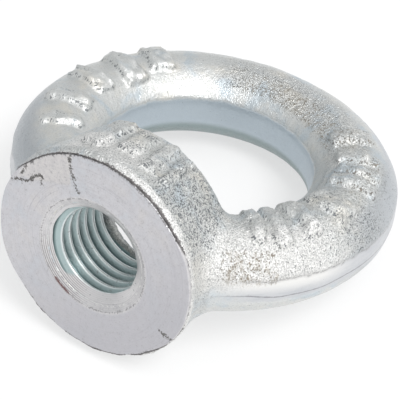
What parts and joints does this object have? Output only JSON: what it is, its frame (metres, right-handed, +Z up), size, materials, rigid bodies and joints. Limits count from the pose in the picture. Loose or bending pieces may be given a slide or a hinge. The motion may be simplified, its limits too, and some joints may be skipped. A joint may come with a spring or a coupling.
{
  "type": "lifting eye nut",
  "caption": "Forged lifting eye nut: a round eye on a short threaded boss with a flat seating face, zinc plated, lying on its side.",
  "frame": {"origin": "on the floor under the middle of the nut's box, as it lies on its side", "axes": "+X from the seating face towards the far side of the eye, +Y across the eye, +Z up; the bore leans 12.2 degrees down towards the eye"},
  "size_m": [0.065, 0.063, 0.0353],
  "materials": {
    "zinc_plating": "bright zinc plating over a forged skin"
  },
  "bodies": {
    "root": {"eye_nut": "zinc_plating"}
  },
  "joints": []
}
